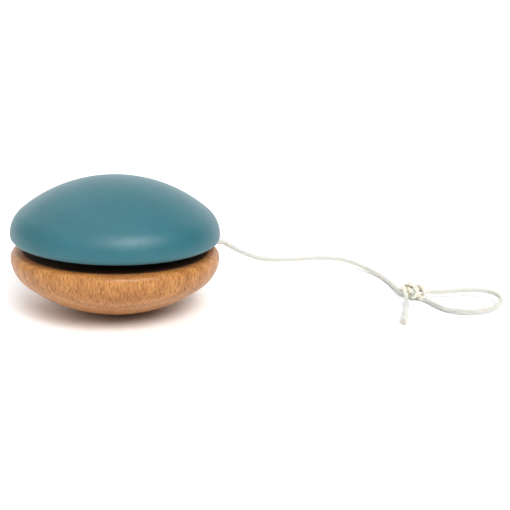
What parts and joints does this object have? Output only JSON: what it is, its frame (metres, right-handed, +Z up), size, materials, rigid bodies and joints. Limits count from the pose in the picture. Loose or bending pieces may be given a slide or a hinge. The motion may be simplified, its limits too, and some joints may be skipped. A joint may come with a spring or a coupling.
{
  "type": "yo-yo",
  "caption": "Turned wooden yo-yo: two domed halves glued to a dowel axle, with a twisted string looped and wound round the axle and a knotted finger loop lying beside it.",
  "frame": {"origin": "centre of the foot that the lower half stands on", "axes": "+Z up along the axle, from the bare half to the painted half; +X towards the side on which the finger loop lies"},
  "size_m": [0.1494, 0.0817, 0.0389],
  "materials": {
    "painted_wood": "satin teal paint on turned beech",
    "bare_wood": "clear satin lacquer on turned beech, grain along the axle",
    "string": "twisted undyed cotton, slightly waxed"
  },
  "bodies": {
    "yoyo": {"upper_half": "painted_wood", "lower_half": "bare_wood", "axle": "bare_wood"},
    "string": {"axle_loop": "string", "string_winding": "string", "string_run": "string", "finger_knot": "string", "finger_loop": "string", "string_tail": "string"}
  },
  "joints": [
    {"name": "string_spin", "type": "hinge", "parent": "yoyo", "child": "string", "pos_m": [0, 0, 0.01923], "axis": [0, 0, 1], "continuous": true}
  ]
}
